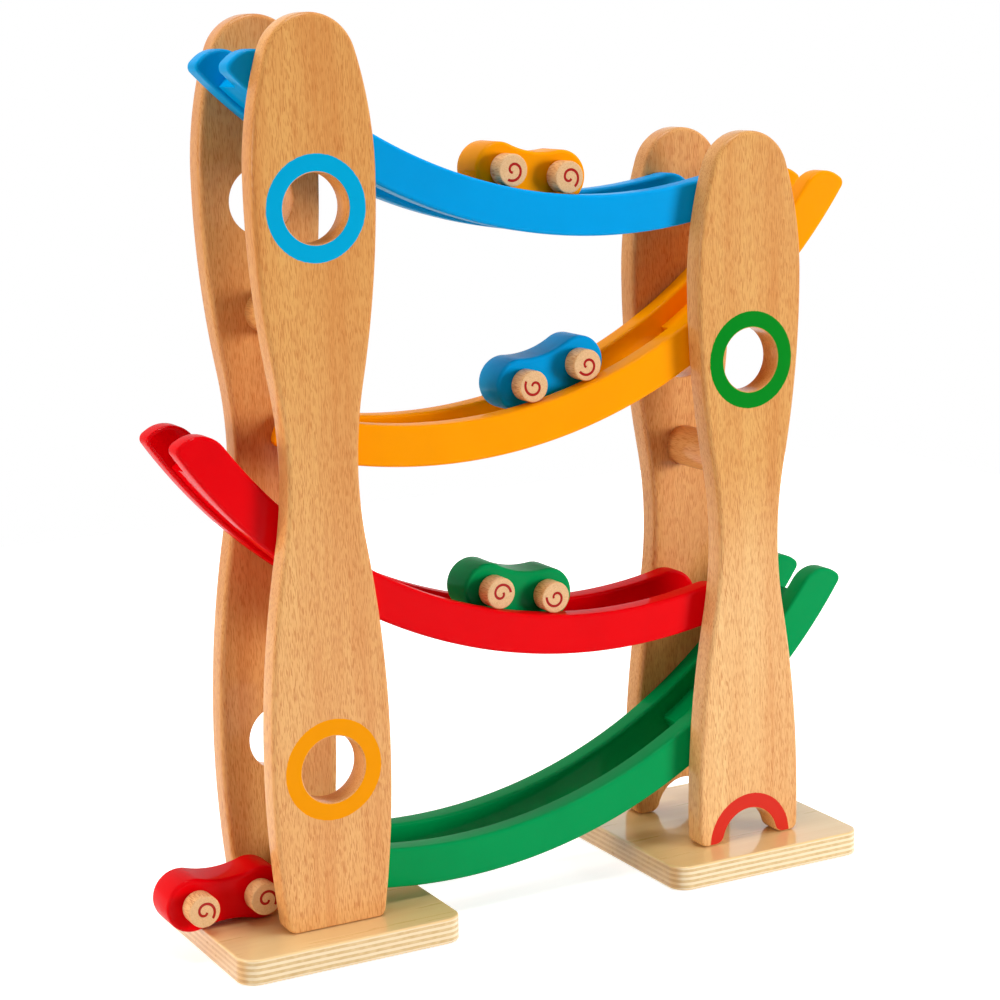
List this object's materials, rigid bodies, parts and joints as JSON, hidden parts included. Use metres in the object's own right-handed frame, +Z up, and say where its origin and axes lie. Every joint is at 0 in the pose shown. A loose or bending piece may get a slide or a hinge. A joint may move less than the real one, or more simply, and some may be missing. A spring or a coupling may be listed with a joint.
{
  "type": "wooden ramp racer toy",
  "caption": "Wooden zig-zag ramp racer: waisted towers on plywood bases carry curved two-rail ramps, and peanut-shaped cars roll down them from end to end.",
  "frame": {"origin": "on the floor, under the middle of the left tower", "axes": "+Z up, +X from the left tower to the right tower, +Y to the back"},
  "size_m": [0.3618, 0.11, 0.42],
  "materials": {
    "beech": "satin lacquer",
    "plywood": "satin lacquer",
    "blue_paint": "satin paint",
    "yellow_paint": "satin paint",
    "red_paint": "satin paint",
    "green_paint": "satin paint",
    "steel": "bright"
  },
  "bodies": {
    "racer": {"left_base": "plywood", "left_base_screws": "steel", "left_dowel": "beech", "left_front_panel": "beech", "left_front_rail_pegs": "beech", "left_back_panel": "beech", "left_back_rail_pegs": "beech", "right_base": "plywood", "right_base_screws": "steel", "right_dowel": "beech", "right_front_panel": "beech", "right_front_rail_pegs": "beech", "right_back_panel": "beech", "right_back_rail_pegs": "beech", "green_front_rail": "green_paint", "green_back_rail": "green_paint", "green_strip": "green_paint", "red_front_rail": "red_paint", "red_back_rail": "red_paint", "red_strip": "red_paint", "yellow_front_rail": "yellow_paint", "yellow_back_rail": "yellow_paint", "yellow_strip": "yellow_paint", "blue_front_rail": "blue_paint", "blue_back_rail": "blue_paint", "blue_strip": "blue_paint"},
    "red_car": {"red_car_body": "red_paint"},
    "red_car_front_wheels": {"red_car_front_axle": "steel", "red_car_front_left_wheel": "beech", "red_car_front_right_wheel": "beech"},
    "red_car_rear_wheels": {"red_car_rear_axle": "steel", "red_car_rear_left_wheel": "beech", "red_car_rear_right_wheel": "beech"},
    "green_car": {"green_car_body": "green_paint"},
    "green_car_front_wheels": {"green_car_front_axle": "steel", "green_car_front_left_wheel": "beech", "green_car_front_right_wheel": "beech"},
    "green_car_rear_wheels": {"green_car_rear_axle": "steel", "green_car_rear_left_wheel": "beech", "green_car_rear_right_wheel": "beech"},
    "blue_car": {"blue_car_body": "blue_paint"},
    "blue_car_front_wheels": {"blue_car_front_axle": "steel", "blue_car_front_left_wheel": "beech", "blue_car_front_right_wheel": "beech"},
    "blue_car_rear_wheels": {"blue_car_rear_axle": "steel", "blue_car_rear_left_wheel": "beech", "blue_car_rear_right_wheel": "beech"},
    "yellow_car": {"yellow_car_body": "yellow_paint"},
    "yellow_car_front_wheels": {"yellow_car_front_axle": "steel", "yellow_car_front_left_wheel": "beech", "yellow_car_front_right_wheel": "beech"},
    "yellow_car_rear_wheels": {"yellow_car_rear_axle": "steel", "yellow_car_rear_left_wheel": "beech", "yellow_car_rear_right_wheel": "beech"}
  },
  "joints": [
    {"name": "red_car_push", "type": "slide", "parent": "racer", "child": "red_car", "axis": [-1, 0, 0], "range_m": [-0.015, 0.012]},
    {"name": "red_car_front_spin", "type": "hinge", "parent": "red_car", "child": "red_car_front_wheels", "pos_m": [-0.058, 0, 0.02475], "axis": [0, 1, 0], "continuous": true},
    {"name": "red_car_rear_spin", "type": "hinge", "parent": "red_car", "child": "red_car_rear_wheels", "pos_m": [-0.028, 0, 0.02475], "axis": [0, 1, 0], "continuous": true},
    {"name": "green_car_roll", "type": "hinge", "parent": "racer", "child": "green_car", "pos_m": [0.157, 0, 0.3831], "axis": [0, 1, 0], "range_deg": [-19.8, 38.3]},
    {"name": "green_car_front_spin", "type": "hinge", "parent": "green_car", "child": "green_car_front_wheels", "pos_m": [0.12565, 0, 0.14541], "axis": [0, 1, 0], "continuous": true},
    {"name": "green_car_rear_spin", "type": "hinge", "parent": "green_car", "child": "green_car_rear_wheels", "pos_m": [0.09621, 0, 0.15118], "axis": [0, 1, 0], "continuous": true},
    {"name": "blue_car_roll", "type": "hinge", "parent": "racer", "child": "blue_car", "pos_m": [0.069, 0, 0.4827], "axis": [0, -1, 0], "range_deg": [-23.4, 35]},
    {"name": "blue_car_front_spin", "type": "hinge", "parent": "blue_car", "child": "blue_car_front_wheels", "pos_m": [0.11562, 0, 0.24753], "axis": [0, 1, 0], "continuous": true},
    {"name": "blue_car_rear_spin", "type": "hinge", "parent": "blue_car", "child": "blue_car_rear_wheels", "pos_m": [0.14463, 0, 0.25519], "axis": [0, 1, 0], "continuous": true},
    {"name": "yellow_car_roll", "type": "hinge", "parent": "racer", "child": "yellow_car", "pos_m": [0.157, 0, 0.5823], "axis": [0, 1, 0], "range_deg": [-17.3, 30]},
    {"name": "yellow_car_front_spin", "type": "hinge", "parent": "yellow_car", "child": "yellow_car_front_wheels", "pos_m": [0.13605, 0, 0.34347], "axis": [0, 1, 0], "continuous": true},
    {"name": "yellow_car_rear_spin", "type": "hinge", "parent": "yellow_car", "child": "yellow_car_rear_wheels", "pos_m": [0.10639, 0, 0.34795], "axis": [0, 1, 0], "continuous": true}
  ],
  "couplings": [
    {"joint": "green_car_front_spin", "follows": "green_car_roll", "ratio": -33},
    {"joint": "green_car_rear_spin", "follows": "green_car_roll", "ratio": -33},
    {"joint": "blue_car_front_spin", "follows": "blue_car_roll", "ratio": 33},
    {"joint": "blue_car_rear_spin", "follows": "blue_car_roll", "ratio": 33},
    {"joint": "yellow_car_front_spin", "follows": "yellow_car_roll", "ratio": -33},
    {"joint": "yellow_car_rear_spin", "follows": "yellow_car_roll", "ratio": -33}
  ]
}
